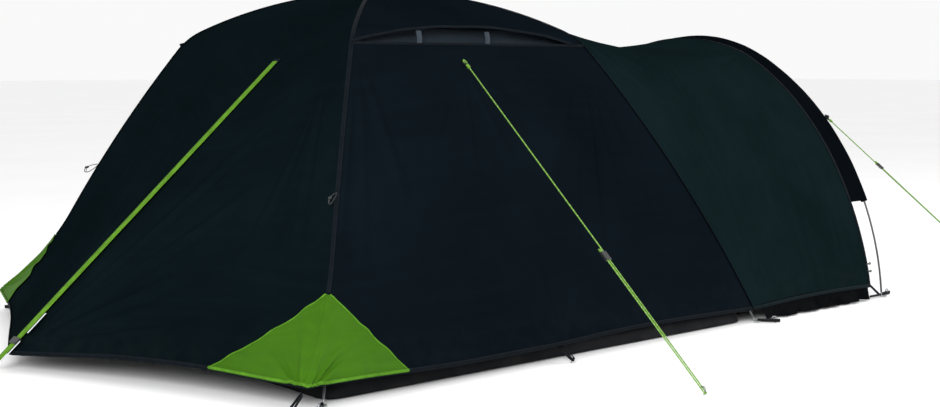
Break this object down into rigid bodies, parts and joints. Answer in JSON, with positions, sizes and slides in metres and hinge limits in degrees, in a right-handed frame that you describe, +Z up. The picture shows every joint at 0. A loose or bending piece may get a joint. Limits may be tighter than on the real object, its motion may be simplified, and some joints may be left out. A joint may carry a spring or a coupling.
{
  "type": "tunnel tent",
  "caption": "Low camping tent: crossed-pole dome with a pulled-out rear and a single-hoop tunnel porch, with fly, inner tent, guys and pegs.",
  "frame": {"origin": "on the ground under the crossing of the two dome poles", "axes": "+X from the rear to the porch, +Y to the tent's left, +Z up"},
  "size_m": [4.488, 3.5306, 1.4886],
  "materials": {
    "pole_fibreglass": "smooth dark fibreglass",
    "ferrule_steel": "drawn steel tube",
    "shock_cord": "braided elastic cord",
    "fly_dark": "coated polyester, fine plain weave, soft sheen",
    "fly_porch": "coated polyester, fine plain weave, soft sheen",
    "mesh": "fine net",
    "vent_stiffener": "cloth-covered stiffener",
    "green_cloth": "coated polyester, fine plain weave",
    "green_webbing": "woven tape",
    "reflective": "reflective tape",
    "black_plastic": "moulded",
    "groundsheet": "heavy coated sheet",
    "inner_cloth": "breathable uncoated polyester",
    "zip_tape": "zip tape and coil",
    "zip_metal": "die cast, lacquered",
    "peg_steel": "bent galvanised wire",
    "black_webbing": "woven tape",
    "guy_cord": "braided cord"
  },
  "bodies": {
    "tent": {"corner_patch_left": "green_cloth", "corner_patch_right": "green_cloth", "corner_ring_pins": "peg_steel", "corner_webbing_loops": "black_webbing", "crossing_tie": "shock_cord", "dome_pole_ferrules": "ferrule_steel", "dome_pole_lower_rods": "pole_fibreglass", "dome_pole_shock_cords": "shock_cord", "dome_pole_upper_rods": "pole_fibreglass", "fly_crown_front": "fly_dark", "fly_crown_left": "fly_dark", "fly_crown_right": "fly_dark", "fly_rear_panel_left": "fly_dark", "fly_rear_panel_right": "fly_dark", "fly_side_panel_left": "fly_dark", "fly_side_panel_right": "fly_dark", "ground_pegs": "peg_steel", "groundsheet_tub": "groundsheet", "hem_peg_loops": "black_webbing", "inner_pole_clips": "black_plastic", "inner_tent_canopy": "inner_cloth", "lamp_loop": "black_webbing", "mud_skirts": "groundsheet", "porch_saddle": "fly_porch", "porch_tunnel": "fly_porch", "rear_reflective_tabs": "reflective", "rear_strap": "green_webbing", "rear_tie_loops": "black_webbing", "side_guy_lines": "guy_cord", "side_guy_tabs": "black_webbing", "vent_mesh_panels": "mesh"},
    "porch_hoop": {"porch_hoop_rods": "pole_fibreglass", "porch_hoop_ferrules": "ferrule_steel", "porch_hoop_shock_cord": "shock_cord", "porch_front_band": "fly_dark", "hoop_sleeve": "fly_dark", "front_panel": "fly_porch", "front_zip_track": "zip_tape", "door_tie_toggles": "black_plastic", "hoop_pegs": "peg_steel", "hoop_ring_pins": "peg_steel", "hoop_foot_straps": "black_webbing", "front_guy_lines": "guy_cord", "hoop_guy_tabs": "black_webbing", "hoop_wall_hooks": "black_plastic"},
    "front_door": {"front_door": "fly_porch"},
    "front_zip_slider": {"front_zip_slider": "zip_metal"},
    "vent_hood_right": {"vent_hood_right": "fly_dark"},
    "vent_hood_left": {"vent_hood_left": "fly_dark"},
    "vent_props_right": {"vent_props_right": "vent_stiffener"},
    "vent_props_left": {"vent_props_left": "vent_stiffener"},
    "side_guy_right_slider": {"side_guy_right_slider": "black_plastic"},
    "side_guy_left_slider": {"side_guy_left_slider": "black_plastic"},
    "front_guy_right_slider": {"front_guy_right_slider": "black_plastic"},
    "front_guy_left_slider": {"front_guy_left_slider": "black_plastic"},
    "inner_door": {"inner_door": "inner_cloth"},
    "inner_zip_slider": {"inner_zip_slider": "zip_metal"},
    "lamp_ring": {"lamp_ring": "peg_steel"},
    "rear_strap_buckle": {"rear_strap_buckle": "black_plastic"}
  },
  "joints": [
    {"name": "porch_hoop_slide", "type": "slide", "parent": "tent", "child": "porch_hoop", "axis": [1, 0, 0], "range_m": [-0.6, 0], "deforming": ["porch_tunnel", "mud_skirts"]},
    {"name": "front_door_swing", "type": "hinge", "parent": "porch_hoop", "child": "front_door", "pos_m": [1.85725, 0.4335, 0.08], "axis": [0, 0, 1], "range_deg": [0, 95]},
    {"name": "front_zip_run", "type": "slide", "parent": "porch_hoop", "child": "front_zip_slider", "axis": [0, 0, 1], "range_m": [0, 0.42]},
    {"name": "inner_door_fold", "type": "hinge", "parent": "tent", "child": "inner_door", "pos_m": [0.97074, 0, 0.1215], "axis": [0, -1, 0], "range_deg": [0, 58]},
    {"name": "inner_zip_run", "type": "slide", "parent": "tent", "child": "inner_zip_slider", "axis": [-0.3864, 0, 0.9223], "range_m": [0, 0.42]},
    {"name": "vent_hood_right_droop", "type": "hinge", "parent": "tent", "child": "vent_hood_right", "pos_m": [0, -0.53686, 1.1661], "axis": [1, 0, 0], "range_deg": [0, 14]},
    {"name": "vent_props_right_fold", "type": "hinge", "parent": "tent", "child": "vent_props_right", "pos_m": [0, -0.59819, 1.108], "axis": [1, 0, 0], "range_deg": [0, 70]},
    {"name": "vent_hood_left_droop", "type": "hinge", "parent": "tent", "child": "vent_hood_left", "pos_m": [0, 0.53686, 1.1661], "axis": [-1, 0, 0], "range_deg": [0, 14]},
    {"name": "vent_props_left_fold", "type": "hinge", "parent": "tent", "child": "vent_props_left", "pos_m": [0, 0.59819, 1.108], "axis": [-1, 0, 0], "range_deg": [0, 70]},
    {"name": "side_guy_right_adjust", "type": "slide", "parent": "tent", "child": "side_guy_right_slider", "axis": [0.0332, -0.7302, -0.6825], "range_m": [-0.25, 0.12]},
    {"name": "front_guy_right_adjust", "type": "slide", "parent": "porch_hoop", "child": "front_guy_right_slider", "axis": [0.6418, -0.3986, -0.6551], "range_m": [-0.18, 0.25]},
    {"name": "side_guy_left_adjust", "type": "slide", "parent": "tent", "child": "side_guy_left_slider", "axis": [0.0332, 0.7302, -0.6825], "range_m": [-0.25, 0.12]},
    {"name": "front_guy_left_adjust", "type": "slide", "parent": "porch_hoop", "child": "front_guy_left_slider", "axis": [0.6418, 0.3986, -0.6551], "range_m": [-0.18, 0.25]},
    {"name": "lamp_ring_swing", "type": "hinge", "parent": "tent", "child": "lamp_ring", "pos_m": [0, 0, 1.218], "axis": [1, 0, 0], "range_deg": [-45, 45]},
    {"name": "rear_buckle_run", "type": "slide", "parent": "tent", "child": "rear_strap_buckle", "axis": [0.7437, 0, 0.6685], "range_m": [0, 0.3]}
  ],
  "couplings": [
    {"joint": "vent_props_right_fold", "follows": "vent_hood_right_droop", "ratio": 5},
    {"joint": "vent_props_left_fold", "follows": "vent_hood_left_droop", "ratio": 5}
  ]
}
